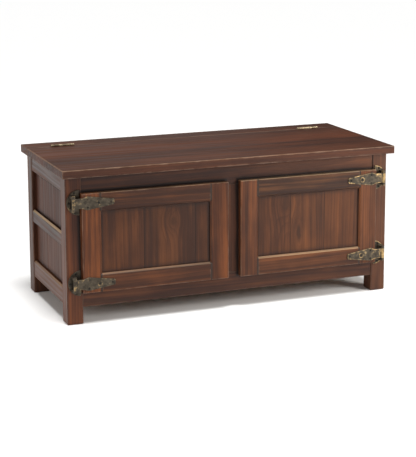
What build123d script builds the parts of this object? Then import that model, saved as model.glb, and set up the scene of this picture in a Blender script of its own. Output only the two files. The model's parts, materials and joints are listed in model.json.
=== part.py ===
from build123d import *
import math
import os
from collections import namedtuple

# A low wooden chest with a lift-up lid and two overlay doors on strap hinges.
# Millimetres. X runs left to right, Y from front to back, Z up.
# The origin is on the floor, under the middle of the lid.

os.makedirs("parts", exist_ok=True)

# Overall sizes
lid_width = 1100.0
lid_depth = 490.0
chest_height = 480.0
lid_thickness = 25.0
side_overhang = 14.0
front_overhang = 28.0
rear_overhang = 25.0

# Carcass frame
post_size = 50.0
post_ease = 2.0
foot_ease = 3.0
front_rail_setback = 3.0
side_rail_setback = 1.5
rail_thickness = 25.0
rail_ease = 1.0
edge_bevel = 5.0
front_rail_clearance = 52.0
side_rail_clearance = 56.5
side_rail_height = 52.0
middle_rail_height = 44.0
tenon_thickness = 9.0
tenon_length = 24.0
tenon_shoulder = 10.0
tenon_play = 1.0

# Panels in the carcass, and the floor of the chest
panel_thickness = 8.0
panel_recess = 12.0
groove_depth = 8.0
panel_play = 1.0
floor_height = 72.0
floor_thickness = 10.0
floor_groove = 6.0
floor_play = 0.5

# Lid and the fixed board behind it
lid_seat_gap = 0.5
strip_depth = 82.0
joint_gap = 2.0
lid_round = 3.0
batten_width = 60.0
batten_thickness = 20.0
batten_spacing = 600.0
batten_front_gap = 14.0
batten_rear_gap = 33.0
batten_ease = 6.0

# Doors
door_thickness = 19.0
door_rest_gap = 1.0
door_sill = 100.0
door_head = 50.0
door_gap = 40.0
door_post_lap = 4.5
door_rail_lap = 12.0
door_stile_width = 60.0
door_rail_height = 57.0
door_round = 2.0
door_panel_thickness = 7.0
door_panel_recess = 9.0
door_tenon_thickness = 7.0
door_tenon_length = 30.0
board_joint_depth = 1.0
door_board_widths = {"left": (137.0, 166.0), "right": (120.0, 118.0)}

# Strap hinges on the doors
plate_radius = 39.0
plate_thickness = 3.0
plate_door_gap = 2.5
plate_rim = 1.2
door_pin_reach = 25.5
door_pin_radius = 2.5
door_pin_inset = 1.0
barrel_radius = 5.5
neck_half_height = 15.5
lug_height = 7.6
lug_base_half = 8.0
running_clearance = 0.06
end_clearance = 0.4
strap_thickness = 3.0
shoulder_reach = 42.0
shoulder_half_height = 21.0
neck_reach = 27.0
tip_reach = 126.5
tip_half_height = 8.5
tip_round = 4.5
strap_rim = 0.8
boss_radius = 8.0
boss_height = 1.0
strap_screw_reaches = (44.0, 77.5, 117.0)
shoulder_screw_offset = 13.0
plate_screw_radius = 33.0
plate_screw_angle = 63.0

# Butt hinges of the lid
lid_hinge_spacing = 866.0
lid_hinge_length = 76.0
lid_hinge_knuckles = 5
knuckle_radius = 3.75
knuckle_rise = 2.5
lid_pin_radius = 1.8
leaf_thickness = 2.0
leaf_height = 22.0
leaf_clearance = 0.1
knuckle_clearance = 0.4
knuckle_end_gap = 0.3
mortise_clearance = 0.2
leaf_screw_spacing = 25.0
leaf_screw_drop = 14.0

# Magnetic catches and their strike plates
catch_height = 46.0
catch_width = 12.0
catch_depth = 14.0
catch_gap = 0.4
catch_ear = 9.0
catch_ear_thickness = 3.0
strike_radius = 9.0
strike_thickness = 1.4
strike_spur_radius = 1.5
strike_spur_length = 8.0

# Screws: head radius, head depth, shank radius, overall length, height of the domed head
Screw = namedtuple("Screw", "head_radius head_depth shank_radius length dome")
plate_screw = Screw(3.4, 2.0, 1.9, 13.0, 1.0)
strap_screw = Screw(3.4, 2.0, 1.9, 15.0, 1.0)
leaf_screw = Screw(3.0, 1.6, 1.5, 18.0, 0.0)
catch_screw = Screw(2.4, 1.4, 1.2, 14.0, 0.6)
slot_width = 0.9
slot_depth = 0.8

# Derived places
sides = {"left": -1, "right": 1}
half_width = lid_width / 2 - side_overhang
front_y = -lid_depth / 2 + front_overhang
back_y = lid_depth / 2 - rear_overhang
carcass_top = chest_height - lid_thickness - lid_seat_gap
inner_x = half_width - post_size
inner_front = front_y + post_size
inner_back = back_y - post_size
joint_y = lid_depth / 2 - strip_depth

door_top = chest_height - lid_thickness - door_head
door_height = door_top - door_sill
door_front = front_y - door_rest_gap - door_thickness
door_back = front_y - door_rest_gap
door_outer_x = inner_x + door_post_lap
door_inner_x = door_gap / 2
centre_stile_half = door_gap / 2 + door_rail_lap
hinge_heights = {"upper": door_top - door_rail_height / 2, "lower": door_sill + door_rail_height / 2}
pin_x = door_outer_x + door_pin_reach
pin_y = door_front - door_pin_inset


def block(x_span, y_span, z_span):
    """A plain block between two values on each axis."""
    spans = [sorted(span) for span in (x_span, y_span, z_span)]
    with BuildPart() as body:
        with Locations(tuple((low + high) / 2 for low, high in spans)):
            Box(*(high - low for low, high in spans))
    return body.part


def rod(start, direction, radius, length):
    """A plain round bar from a point along a direction."""
    with BuildPart() as body:
        with BuildSketch(Plane(origin=start, z_dir=direction)):
            Circle(radius)
        extrude(amount=length)
    return body.part


def write(piece, name):
    """Label a finished piece and write its STEP file."""
    piece.part.label = name
    export_step(piece.part, f"parts/{name}.step")


def near(edges, axis, value):
    """The edges whose middles lie at one value along an axis."""
    return edges.filter_by_position(axis, value - 0.05, value + 0.05)


# Screws

def screw_body(spec):
    """A countersunk wood screw without its slot, head upwards, its rim at Z = 0."""
    tip = 2 * spec.shank_radius
    shoulder = spec.head_radius / 2
    if spec.dome:
        sphere_radius = (spec.head_radius ** 2 + spec.dome ** 2) / (2 * spec.dome)
        shoulder_rise = math.sqrt(sphere_radius ** 2 - shoulder ** 2) - sphere_radius + spec.dome
    with BuildPart() as body:
        with BuildSketch(Plane.XZ):
            with BuildLine():
                Polyline((0, -spec.length), (spec.shank_radius, tip - spec.length),
                         (spec.shank_radius, -spec.head_depth), (spec.head_radius, 0))
                if spec.dome:
                    ThreePointArc((spec.head_radius, 0), (shoulder, shoulder_rise), (0, spec.dome))
                else:
                    Line((spec.head_radius, 0), (0, 0))
                Line((0, spec.dome), (0, -spec.length))
            make_face()
        revolve(axis=Axis.Z)
    return body.part


def slotted(body, spec):
    """The same screw with a slot across its head."""
    with BuildPart() as screw:
        add(body)
        with Locations((0, 0, spec.dome)):
            Box(3 * spec.head_radius, slot_width, 2 * slot_depth, mode=Mode.SUBTRACT)
    return screw.part


def facing(point, direction, turn=0.0):
    """The place of a screw whose head looks along a direction, with its slot turned."""
    return Plane(origin=point, z_dir=direction).location * Rotation(0, 0, turn)


def placed(body, places):
    """Copies of one body at several places, as a list."""
    return [body.moved(place) for place in places]


to_front, to_back = (0, -1, 0), (0, 1, 0)
slot_turns = (18.0, 75.0, -40.0, 110.0, 5.0)

plate_places = []
strap_places = {name: [] for name in sides}
for side_name, side in sides.items():
    plate_edge = door_outer_x + plate_door_gap
    for height in hinge_heights.values():
        for angle in (-plate_screw_angle, 0, plate_screw_angle):
            reach = plate_screw_radius * math.cos(math.radians(angle))
            rise = plate_screw_radius * math.sin(math.radians(angle))
            point = (side * (plate_edge + reach), front_y - plate_thickness, height + rise)
            turn = slot_turns[len(plate_places) % len(slot_turns)]
            plate_places.append(facing(point, to_front, turn))
        shoulder, middle, tip = strap_screw_reaches
        spots = [(shoulder, shoulder_screw_offset, 0), (shoulder, -shoulder_screw_offset, 0),
                 (middle, 0, boss_height), (tip, 0, 0)]
        for reach, rise, raised in spots:
            point = (side * (pin_x - reach), door_front - strap_thickness - raised, height + rise)
            places = strap_places[side_name]
            turn = slot_turns[len(places) % len(slot_turns)]
            places.append(facing(point, to_front, turn))

leaf_places = {"fixed": [], "moving": []}
for side in sides.values():
    for step in (-1, 0, 1):
        x = side * lid_hinge_spacing / 2 + step * leaf_screw_spacing
        z = chest_height + knuckle_rise - leaf_screw_drop
        leaf_places["fixed"].append(facing((x, joint_y + leaf_clearance, z), to_front, 90 + 20 * step))
        leaf_places["moving"].append(facing((x, joint_y - leaf_clearance, z), to_back, 70 + 20 * step))

plate_screw_cuts = placed(screw_body(plate_screw), plate_places)
strap_screw_cuts = {name: placed(screw_body(strap_screw), strap_places[name]) for name in sides}
leaf_screw_cuts = {name: placed(screw_body(leaf_screw), leaf_places[name]) for name in leaf_places}

# Carcass rails: where each one runs, its outer face, the way in, and its lower and upper edge.
# They sit back from the faces of the posts and are tenoned into them.
Rail = namedtuple("Rail", "name run face inward low high")
side_low = side_rail_clearance
side_high = carcass_top - side_rail_height
opening_low = side_low + side_rail_height
middle_low = (opening_low + side_high - middle_rail_height) / 2
middle_high = middle_low + middle_rail_height
front_face = front_y + front_rail_setback
rear_face = back_y - side_rail_setback

front_bottom = Rail("front_bottom_rail", "X", front_face, 1, front_rail_clearance, door_sill + door_rail_lap)
front_top = Rail("front_top_rail", "X", front_face, 1, door_top - door_rail_lap, carcass_top)
rear_bottom = Rail("rear_bottom_rail", "X", rear_face, -1, side_low, opening_low)
rear_top = Rail("rear_top_rail", "X", rear_face, -1, side_high, carcass_top)
rails = [front_bottom, front_top, rear_bottom, rear_top]
for side_name, side in sides.items():
    side_face = side * (half_width - side_rail_setback)
    rails.append(Rail(f"{side_name}_bottom_rail", "Y", side_face, -side, side_low, opening_low))
    rails.append(Rail(f"{side_name}_middle_rail", "Y", side_face, -side, middle_low, middle_high))
    rails.append(Rail(f"{side_name}_top_rail", "Y", side_face, -side, side_high, carcass_top))


def rail_ends(rail):
    """The two shoulders of a rail, where it meets its posts."""
    return (-inner_x, inner_x) if rail.run == "X" else (inner_front, inner_back)


def rail_box(rail, along, depth, heights):
    """A block in a rail's own terms: along it, in from its outer face, and up."""
    across = [rail.face + rail.inward * value for value in depth]
    return block(along, across, heights) if rail.run == "X" else block(across, along, heights)


def rail_tenons(rail, play=0.0):
    """The two tenons of a rail, or with play the mortises that hold them."""
    start, end = rail_ends(rail)
    reach = tenon_length + play
    depth = [(rail_thickness - tenon_thickness) / 2, (rail_thickness + tenon_thickness) / 2]
    heights = (rail.low + tenon_shoulder, rail.high - tenon_shoulder)
    return [rail_box(rail, (start - reach, start), depth, heights),
            rail_box(rail, (end, end + reach), depth, heights)]


# Panels of the carcass, each held in a groove all round
Panel = namedtuple("Panel", "name rail low high")
panels = [Panel("rear_panel", rear_bottom, opening_low, side_high)]
for rail in rails:
    if rail.name.endswith("_bottom_rail") and rail.run == "Y":
        side_name = rail.name.split("_")[0]
        panels.append(Panel(f"{side_name}_lower_panel", rail, opening_low, middle_low))
        panels.append(Panel(f"{side_name}_upper_panel", rail, middle_high, side_high))


def panel_box(panel, reach):
    """A carcass panel that runs a distance past its opening on all four edges."""
    start, end = rail_ends(panel.rail)
    depth = (panel_recess, panel_recess + panel_thickness)
    return rail_box(panel.rail, (start - reach, end + reach), depth, (panel.low - reach, panel.high + reach))


panel_grooves = [panel_box(panel, groove_depth) for panel in panels]

# The floor board sits in a groove in the four bottom rails
side_inner = half_width - side_rail_setback - rail_thickness
front_inner = front_face + rail_thickness
rear_inner = rear_face - rail_thickness
floor_span = (floor_height, floor_height + floor_thickness)


def floor_box(reach):
    """The floor board with its edges a distance into the rails."""
    across = side_inner + reach
    return block((-across, across), (front_inner - reach, rear_inner + reach), floor_span)


floor_grooves = [floor_box(floor_groove)]

# The stile between the doors is tenoned into both front rails
stile_tenon_half = centre_stile_half - tenon_shoulder
stile_depth = (front_face, front_face + rail_thickness)
stile_tenon_depth = (front_face + (rail_thickness - tenon_thickness) / 2,
                     front_face + (rail_thickness + tenon_thickness) / 2)


def stile_tenons(play=0.0):
    """The two tenons of the centre stile, or with play their mortises."""
    reach = tenon_length + play
    across = (-stile_tenon_half, stile_tenon_half)
    return [block(across, stile_tenon_depth, (front_bottom.high - reach, front_bottom.high)),
            block(across, stile_tenon_depth, (front_top.low, front_top.low + reach))]


# Posts
post_mortises = [cut for rail in rails for cut in rail_tenons(rail, tenon_play)]
post_cuts = post_mortises + panel_grooves + plate_screw_cuts
for end_name, end_span in {"front": (front_y, inner_front), "rear": (inner_back, back_y)}.items():
    for side_name, side in sides.items():
        blank = block((side * inner_x, side * half_width), end_span, (0, carcass_top))
        with BuildPart() as post:
            add(blank)
            chamfer(post.edges().filter_by(Axis.Z), post_ease)
            chamfer(post.faces().sort_by(Axis.Z)[0].edges(), foot_ease)
            add(post_cuts, mode=Mode.SUBTRACT)
        write(post, f"post_{end_name}_{side_name}")

# Rails
for rail in rails:
    run_axis = Axis.X if rail.run == "X" else Axis.Y
    depth_axis = Axis.Y if rail.run == "X" else Axis.X
    blank = rail_box(rail, rail_ends(rail), (0, rail_thickness), (rail.low, rail.high))
    tenons = rail_tenons(rail)
    cuts = list(panel_grooves)
    if "bottom" in rail.name:
        cuts += floor_grooves
    if rail.name.startswith("front"):
        cuts += stile_tenons(tenon_play) + plate_screw_cuts
    with BuildPart() as frame_rail:
        add(blank)
        outer = near(frame_rail.edges().filter_by(run_axis), depth_axis, rail.face)
        if rail.name.startswith("front"):
            chamfer(outer, rail_ease)
        else:
            if rail.high < carcass_top:
                chamfer(near(outer, Axis.Z, rail.high), edge_bevel)
            if rail.low > side_low:
                chamfer(near(outer, Axis.Z, rail.low), edge_bevel)
        add(tenons)
        add(cuts, mode=Mode.SUBTRACT)
    write(frame_rail, rail.name)

# Centre stile between the doors
stile_blank = block((-centre_stile_half, centre_stile_half), stile_depth, (front_bottom.high, front_top.low))
stile_ends = stile_tenons()
catch_middle = door_sill + door_height / 2
catch_front = door_back + strike_thickness + catch_gap
catch_screw_places = {name: [] for name in sides}
for side_name, side in sides.items():
    for step in (-1, 1):
        ear_x = side * (centre_stile_half + catch_ear_thickness)
        ear_z = catch_middle + step * (catch_height - catch_ear) / 2
        place = facing((ear_x, catch_front + catch_depth / 2, ear_z), (side, 0, 0), 35 * step)
        catch_screw_places[side_name].append(place)
catch_screw_cuts = {name: placed(screw_body(catch_screw), catch_screw_places[name]) for name in sides}
with BuildPart() as centre_stile:
    add(stile_blank)
    chamfer(centre_stile.edges().filter_by(Axis.Z), rail_ease)
    add(stile_ends)
    for side_name in sides:
        add(catch_screw_cuts[side_name], mode=Mode.SUBTRACT)
write(centre_stile, "front_centre_stile")

# Carcass panels
for panel in panels:
    board = panel_box(panel, groove_depth - panel_play)
    with BuildPart() as carcass_panel:
        add(board)
    write(carcass_panel, panel.name)

# Floor of the chest, notched round the posts
floor_board = floor_box(floor_groove - floor_play)
floor_notches = [
    block((side * (inner_x - floor_play), side * half_width), y_span, floor_span)
    for side in sides.values()
    for y_span in ((front_y, inner_front + floor_play), (inner_back - floor_play, back_y))
]
with BuildPart() as floor_panel:
    add(floor_board)
    add(floor_notches, mode=Mode.SUBTRACT)
write(floor_panel, "floor_panel")

# Butt hinges of the lid. The pin lies just above the top, over the joint.
pin_z = chest_height + knuckle_rise
knuckle_length = lid_hinge_length / lid_hinge_knuckles


def lid_hinge_leaf(middle_x, towards, knuckles):
    """One leaf with its knuckles. towards is 1 for the fixed leaf, -1 for the moving one."""
    start = middle_x - lid_hinge_length / 2
    leaf_y = joint_y + towards * (leaf_clearance + leaf_thickness / 2)
    with BuildPart() as leaf:
        with BuildSketch(Plane.YZ.offset(start)):
            with Locations((joint_y, pin_z)):
                Circle(knuckle_radius)
            with Locations((leaf_y, pin_z - leaf_height / 2)):
                Rectangle(leaf_thickness, leaf_height)
        extrude(amount=lid_hinge_length)
        with BuildSketch(Plane.YZ.offset(start)):
            with Locations((joint_y, pin_z)):
                Circle(lid_pin_radius + running_clearance)
        extrude(amount=lid_hinge_length, mode=Mode.SUBTRACT)
        for index in range(lid_hinge_knuckles):
            if index in knuckles:
                continue
            gap_start = start + index * knuckle_length - knuckle_end_gap / 2
            with BuildSketch(Plane.YZ.offset(gap_start)):
                with Locations((joint_y, pin_z)):
                    Circle(knuckle_radius + knuckle_clearance)
            extrude(amount=knuckle_length + knuckle_end_gap, mode=Mode.SUBTRACT)
    return leaf.part


def leaf_mortise(middle_x, towards):
    """What one leaf takes out of the edge of its board: a pocket and a groove for the knuckles."""
    reach = lid_hinge_length / 2 + mortise_clearance
    back = joint_y + towards * (leaf_clearance + leaf_thickness)
    pocket = block((middle_x - reach, middle_x + reach), (joint_y, back),
                   (pin_z - leaf_height - mortise_clearance, pin_z))
    groove_radius = knuckle_radius + knuckle_clearance + mortise_clearance
    groove = rod((middle_x - reach, joint_y, pin_z), (1, 0, 0), groove_radius, 2 * reach)
    return [pocket, groove]


lid_hinge_middles = {name: side * lid_hinge_spacing / 2 for name, side in sides.items()}
fixed_knuckles = range(0, lid_hinge_knuckles, 2)
moving_knuckles = range(1, lid_hinge_knuckles, 2)
for side_name, middle_x in lid_hinge_middles.items():
    for leaf_name, towards, knuckles in (("fixed", 1, fixed_knuckles), ("moving", -1, moving_knuckles)):
        blank = lid_hinge_leaf(middle_x, towards, knuckles)
        with BuildPart() as lid_leaf:
            add(blank)
            add(leaf_screw_cuts[leaf_name], mode=Mode.SUBTRACT)
        write(lid_leaf, f"lid_hinge_{side_name}_{leaf_name}_leaf")

with BuildPart() as lid_hinge_pins:
    for middle_x in lid_hinge_middles.values():
        with BuildSketch(Plane.YZ.offset(middle_x - lid_hinge_length / 2)):
            with Locations((joint_y, pin_z)):
                Circle(lid_pin_radius)
        extrude(amount=lid_hinge_length)
write(lid_hinge_pins, "lid_hinge_pins")

# Fixed board behind the lid
strip_front = joint_y + joint_gap / 2
strip_blank = block((-lid_width / 2, lid_width / 2), (strip_front, lid_depth / 2),
                    (carcass_top, chest_height))
strip_cuts = [cut for middle_x in lid_hinge_middles.values() for cut in leaf_mortise(middle_x, 1)]
with BuildPart() as rear_strip:
    add(strip_blank)
    fillet(near(rear_strip.edges().filter_by(Axis.Z), Axis.Y, lid_depth / 2), lid_round)
    top_edges = rear_strip.faces().sort_by(Axis.Z)[-1].edges()
    low_edges = rear_strip.faces().sort_by(Axis.Z)[0].edges()
    fillet((top_edges + low_edges).filter_by(lambda edge: edge.center().Y > strip_front + 1), lid_round)
    add(strip_cuts, mode=Mode.SUBTRACT)
    add(leaf_screw_cuts["fixed"], mode=Mode.SUBTRACT)
write(rear_strip, "lid_rear_strip")

# Lid board
lid_rear = joint_y - joint_gap / 2
lid_bottom = chest_height - lid_thickness
lid_blank = block((-lid_width / 2, lid_width / 2), (-lid_depth / 2, lid_rear), (lid_bottom, chest_height))
lid_cuts = [cut for middle_x in lid_hinge_middles.values() for cut in leaf_mortise(middle_x, -1)]
with BuildPart() as lid_panel:
    add(lid_blank)
    fillet(near(lid_panel.edges().filter_by(Axis.Z), Axis.Y, -lid_depth / 2), lid_round)
    top_edges = lid_panel.faces().sort_by(Axis.Z)[-1].edges()
    low_edges = lid_panel.faces().sort_by(Axis.Z)[0].edges()
    fillet((top_edges + low_edges).filter_by(lambda edge: edge.center().Y < lid_rear - 1), lid_round)
    add(lid_cuts, mode=Mode.SUBTRACT)
    add(leaf_screw_cuts["moving"], mode=Mode.SUBTRACT)
write(lid_panel, "lid_panel")

# Battens across the underside of the lid
batten_span = (front_inner + batten_front_gap, joint_y - batten_rear_gap)
for side_name, side in sides.items():
    middle_x = side * batten_spacing / 2
    blank = block((middle_x - batten_width / 2, middle_x + batten_width / 2), batten_span,
                  (lid_bottom - batten_thickness, lid_bottom))
    with BuildPart() as batten:
        add(blank)
        chamfer(near(batten.edges(), Axis.Z, lid_bottom - batten_thickness), batten_ease)
    write(batten, f"lid_batten_{side_name}")

# Doors: two stiles full height, two rails between them, and a panel in grooves.
# The inner edges of the frame carry a bevel, and the rails are coped over it.
door_face_inner = door_stile_width - edge_bevel
for side_name, side in sides.items():
    stile_spans = {
        "outer": (side * door_outer_x, side * (door_outer_x - door_stile_width)),
        "inner": (side * door_inner_x, side * (door_inner_x + door_stile_width)),
    }
    rail_ends_x = (side * (door_outer_x - door_face_inner), side * (door_inner_x + door_face_inner))
    opening_x = (stile_spans["outer"][1], stile_spans["inner"][1])
    rail_spans = {
        "top": (door_top - door_rail_height, door_top),
        "bottom": (door_sill, door_sill + door_rail_height),
    }
    opening_z = (rail_spans["bottom"][1], rail_spans["top"][0])
    door_y = (door_front, door_back)
    panel_y = (door_front + door_panel_recess, door_front + door_panel_recess + door_panel_thickness)
    middle_y = (door_front + door_back) / 2
    tenon_y = (middle_y - door_tenon_thickness / 2, middle_y + door_tenon_thickness / 2)

    def door_panel_box(reach):
        """The door's panel with its edges a distance into the frame."""
        across = sorted(opening_x)
        return block((across[0] - reach, across[1] + reach), panel_y,
                     (opening_z[0] - reach, opening_z[1] + reach))

    def door_tenons(heights, play=0.0):
        """The tenons of one door rail, or with play their mortises."""
        z_span = (heights[0] + tenon_shoulder, heights[1] - tenon_shoulder)
        across = sorted(opening_x)
        reach = door_tenon_length + play
        return [block((across[0] - reach, across[0]), tenon_y, z_span),
                block((across[1], across[1] + reach), tenon_y, z_span)]

    door_groove = door_panel_box(groove_depth)
    mortises = [cut for span in rail_spans.values() for cut in door_tenons(span, tenon_play)]
    strike_x = side * (centre_stile_half + catch_width / 2)
    spur = rod((strike_x, door_back, catch_middle), to_front, strike_spur_radius, strike_spur_length)
    stiles = {}
    for place, span in stile_spans.items():
        blank = block(span, door_y, (door_sill, door_top))
        with BuildPart() as stile:
            add(blank)
            fronts = near(stile.edges().filter_by(Axis.Z), Axis.Y, door_front)
            chamfer(near(fronts, Axis.X, span[1]), edge_bevel)
            fillet(near(fronts, Axis.X, span[0]), door_round)
            rims = near(stile.edges().filter_by(Axis.X), Axis.Y, door_front)
            fillet(rims, door_round)
        stiles[place] = stile.part
    for place, body in stiles.items():
        with BuildPart() as door_stile:
            add(body)
            add([door_groove, spur] + mortises + strap_screw_cuts[side_name], mode=Mode.SUBTRACT)
        write(door_stile, f"{side_name}_door_{place}_stile")

    for place, span in rail_spans.items():
        blank = block(rail_ends_x, door_y, span)
        tenons = door_tenons(span)
        outer_z, inner_z = (span[1], span[0]) if place == "top" else (span[0], span[1])
        with BuildPart() as door_rail:
            add(blank)
            fronts = near(door_rail.edges().filter_by(Axis.X), Axis.Y, door_front)
            chamfer(near(fronts, Axis.Z, inner_z), edge_bevel)
            fillet(near(fronts, Axis.Z, outer_z), door_round)
            add(list(stiles.values()), mode=Mode.SUBTRACT)
            add(tenons)
            add([door_groove] + strap_screw_cuts[side_name], mode=Mode.SUBTRACT)
        write(door_rail, f"{side_name}_door_{place}_rail")

    board = door_panel_box(groove_depth - panel_play)
    joint_x = [door_outer_x - door_stile_width]
    for width in door_board_widths[side_name]:
        joint_x.append(joint_x[-1] - width)
    joint_side = board_joint_depth * math.sqrt(2)
    with BuildPart() as door_panel:
        add(board)
        with Locations(*[(side * x, panel_y[0], (door_sill + door_top) / 2) for x in joint_x[1:]]):
            Box(joint_side, joint_side, door_height, rotation=(0, 0, 45), mode=Mode.SUBTRACT)
    write(door_panel, f"{side_name}_door_panel")

    # Steel disc for the magnet, with a spur pressed into the back of the free stile
    with BuildPart() as strike:
        with BuildSketch(Plane.XZ.offset(-door_back)):
            with Locations((strike_x, catch_middle)):
                Circle(strike_radius)
        extrude(amount=-strike_thickness)
        chamfer(near(strike.edges(), Axis.Y, door_back + strike_thickness), strike_thickness / 3)
        add(spur)
    write(strike, f"{side_name}_door_strike_plate")

    # Magnetic catch on the edge of the centre stile, a hair behind the disc
    catch_x = (side * centre_stile_half, side * (centre_stile_half + catch_width))
    catch_blank = block(catch_x, (catch_front, catch_front + catch_depth),
                        (catch_middle - catch_height / 2, catch_middle + catch_height / 2))
    beyond_ears = (side * (centre_stile_half + catch_ear_thickness), catch_x[1])
    ear_start = catch_height / 2 - catch_ear
    ear_cuts = [block(beyond_ears, (catch_front, catch_front + catch_depth),
                      (catch_middle + step * ear_start, catch_middle + step * catch_height))
                for step in (-1, 1)]
    with BuildPart() as catch:
        add(catch_blank)
        chamfer(catch.edges().filter_by(Axis.Y), rail_ease)
        add(ear_cuts, mode=Mode.SUBTRACT)
        add(catch_screw_cuts[side_name], mode=Mode.SUBTRACT)
    write(catch, f"magnetic_catch_{side_name}")

# Strap hinges: a half-round plate with two lugs on the post, and a tapered strap on the door
barrel_span = neck_half_height + end_clearance
lug_top = barrel_span + lug_height
plate_front = front_y - plate_thickness
for side_name, side in sides.items():
    plate_edge = side * (door_outer_x + plate_door_gap)
    plate_side = side * (door_outer_x + plate_door_gap + plate_radius)
    axis_x = side * pin_x
    for height_name, height in hinge_heights.items():
        with BuildPart() as plate:
            with BuildSketch(Plane.XZ.offset(-front_y)):
                with BuildLine():
                    Line((plate_edge, height - plate_radius), (plate_edge, height + plate_radius))
                    ThreePointArc((plate_edge, height + plate_radius), (plate_side, height),
                                  (plate_edge, height - plate_radius))
                make_face()
            extrude(amount=plate_thickness)
            chamfer(plate.faces().sort_by(Axis.Y)[0].edges(), plate_rim)
            for step in (-1, 1):
                with BuildSketch(Plane.XY.offset(height + min(step * barrel_span, step * lug_top))):
                    with BuildLine():
                        Polyline((axis_x - lug_base_half, plate_front), (axis_x - barrel_radius, pin_y),
                                 (axis_x + barrel_radius, pin_y), (axis_x + lug_base_half, plate_front),
                                 close=True)
                    make_face()
                    with Locations((axis_x, pin_y)):
                        Circle(barrel_radius)
                extrude(amount=lug_height)
            with BuildSketch(Plane.XY.offset(height - lug_top)):
                with Locations((axis_x, pin_y)):
                    Circle(door_pin_radius)
            extrude(amount=2 * lug_top, mode=Mode.SUBTRACT)
            add(plate_screw_cuts, mode=Mode.SUBTRACT)
        write(plate, f"{side_name}_{height_name}_hinge_plate")

        def strap_point(reach, rise):
            """A point of the strap's outline, from the pin towards its tip."""
            return (side * (pin_x - reach), height + rise)

        corners = ((0, neck_half_height), (neck_reach, neck_half_height),
                   (shoulder_reach, shoulder_half_height), (tip_reach, tip_half_height))
        upper_edge = [strap_point(reach, rise) for reach, rise in corners]
        lower_edge = [strap_point(reach, -rise) for reach, rise in reversed(corners)]
        boss = rod((side * (pin_x - strap_screw_reaches[1]), door_front - strap_thickness, height),
                   to_front, boss_radius, boss_height)
        with BuildPart() as strap:
            with BuildSketch(Plane.XZ.offset(-door_front)) as outline:
                with BuildLine():
                    Polyline(*upper_edge, *lower_edge, close=True)
                make_face()
                tips = outline.vertices().filter_by(lambda v: abs(abs(v.X) - (pin_x - tip_reach)) < 0.1)
                fillet(tips, tip_round)
            extrude(amount=strap_thickness)
            chamfer(strap.faces().sort_by(Axis.Y)[0].edges(), strap_rim)
            with BuildSketch(Plane.XY.offset(height - neck_half_height)):
                with Locations((axis_x, pin_y)):
                    Circle(barrel_radius)
            extrude(amount=2 * neck_half_height)
            with BuildSketch(Plane.XY.offset(height - neck_half_height)):
                with Locations((axis_x, pin_y)):
                    Circle(door_pin_radius + running_clearance)
            extrude(amount=2 * neck_half_height, mode=Mode.SUBTRACT)
            add(boss)
            add(strap_screw_cuts[side_name], mode=Mode.SUBTRACT)
        write(strap, f"{side_name}_{height_name}_hinge_strap")

# Pins of the strap hinges, held tight in the lugs
with BuildPart() as door_hinge_pins:
    for side in sides.values():
        for height in hinge_heights.values():
            with BuildSketch(Plane.XY.offset(height - lug_top)):
                with Locations((side * pin_x, pin_y)):
                    Circle(door_pin_radius)
            extrude(amount=2 * lug_top)
write(door_hinge_pins, "door_hinge_pins")

# Screws, each kind a group of separate solids
screw_groups = {
    "hinge_plate_screws": (plate_screw, plate_places),
    "left_door_strap_screws": (strap_screw, strap_places["left"]),
    "right_door_strap_screws": (strap_screw, strap_places["right"]),
    "lid_hinge_fixed_screws": (leaf_screw, leaf_places["fixed"]),
    "lid_hinge_moving_screws": (leaf_screw, leaf_places["moving"]),
    "catch_screws": (catch_screw, catch_screw_places["left"] + catch_screw_places["right"]),
}
for name, (spec, places) in screw_groups.items():
    copies = placed(slotted(screw_body(spec), spec), places)
    with BuildPart() as screws:
        add(copies)
    write(screws, name)
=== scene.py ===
import json
import math
import random

import bmesh
import bpy
from mathutils import Matrix, Vector


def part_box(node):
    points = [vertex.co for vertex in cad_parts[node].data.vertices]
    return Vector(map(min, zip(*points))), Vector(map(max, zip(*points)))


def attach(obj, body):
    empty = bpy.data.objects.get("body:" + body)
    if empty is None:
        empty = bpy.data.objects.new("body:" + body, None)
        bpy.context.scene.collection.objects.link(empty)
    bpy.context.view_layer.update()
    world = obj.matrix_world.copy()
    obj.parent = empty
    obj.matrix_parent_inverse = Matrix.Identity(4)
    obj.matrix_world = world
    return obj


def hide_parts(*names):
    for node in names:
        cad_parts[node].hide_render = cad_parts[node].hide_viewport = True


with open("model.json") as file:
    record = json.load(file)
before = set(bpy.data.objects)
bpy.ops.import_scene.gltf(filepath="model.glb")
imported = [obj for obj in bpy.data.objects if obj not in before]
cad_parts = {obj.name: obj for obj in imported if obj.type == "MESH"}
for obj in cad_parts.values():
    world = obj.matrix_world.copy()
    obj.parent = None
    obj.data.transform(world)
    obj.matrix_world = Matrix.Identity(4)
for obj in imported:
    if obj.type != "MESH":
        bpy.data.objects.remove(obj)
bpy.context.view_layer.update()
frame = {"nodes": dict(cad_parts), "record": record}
print("frame loaded:", len(frame["nodes"]), "nodes")

scene = bpy.context.scene
sides = {"left": -1, "right": 1}

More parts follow.
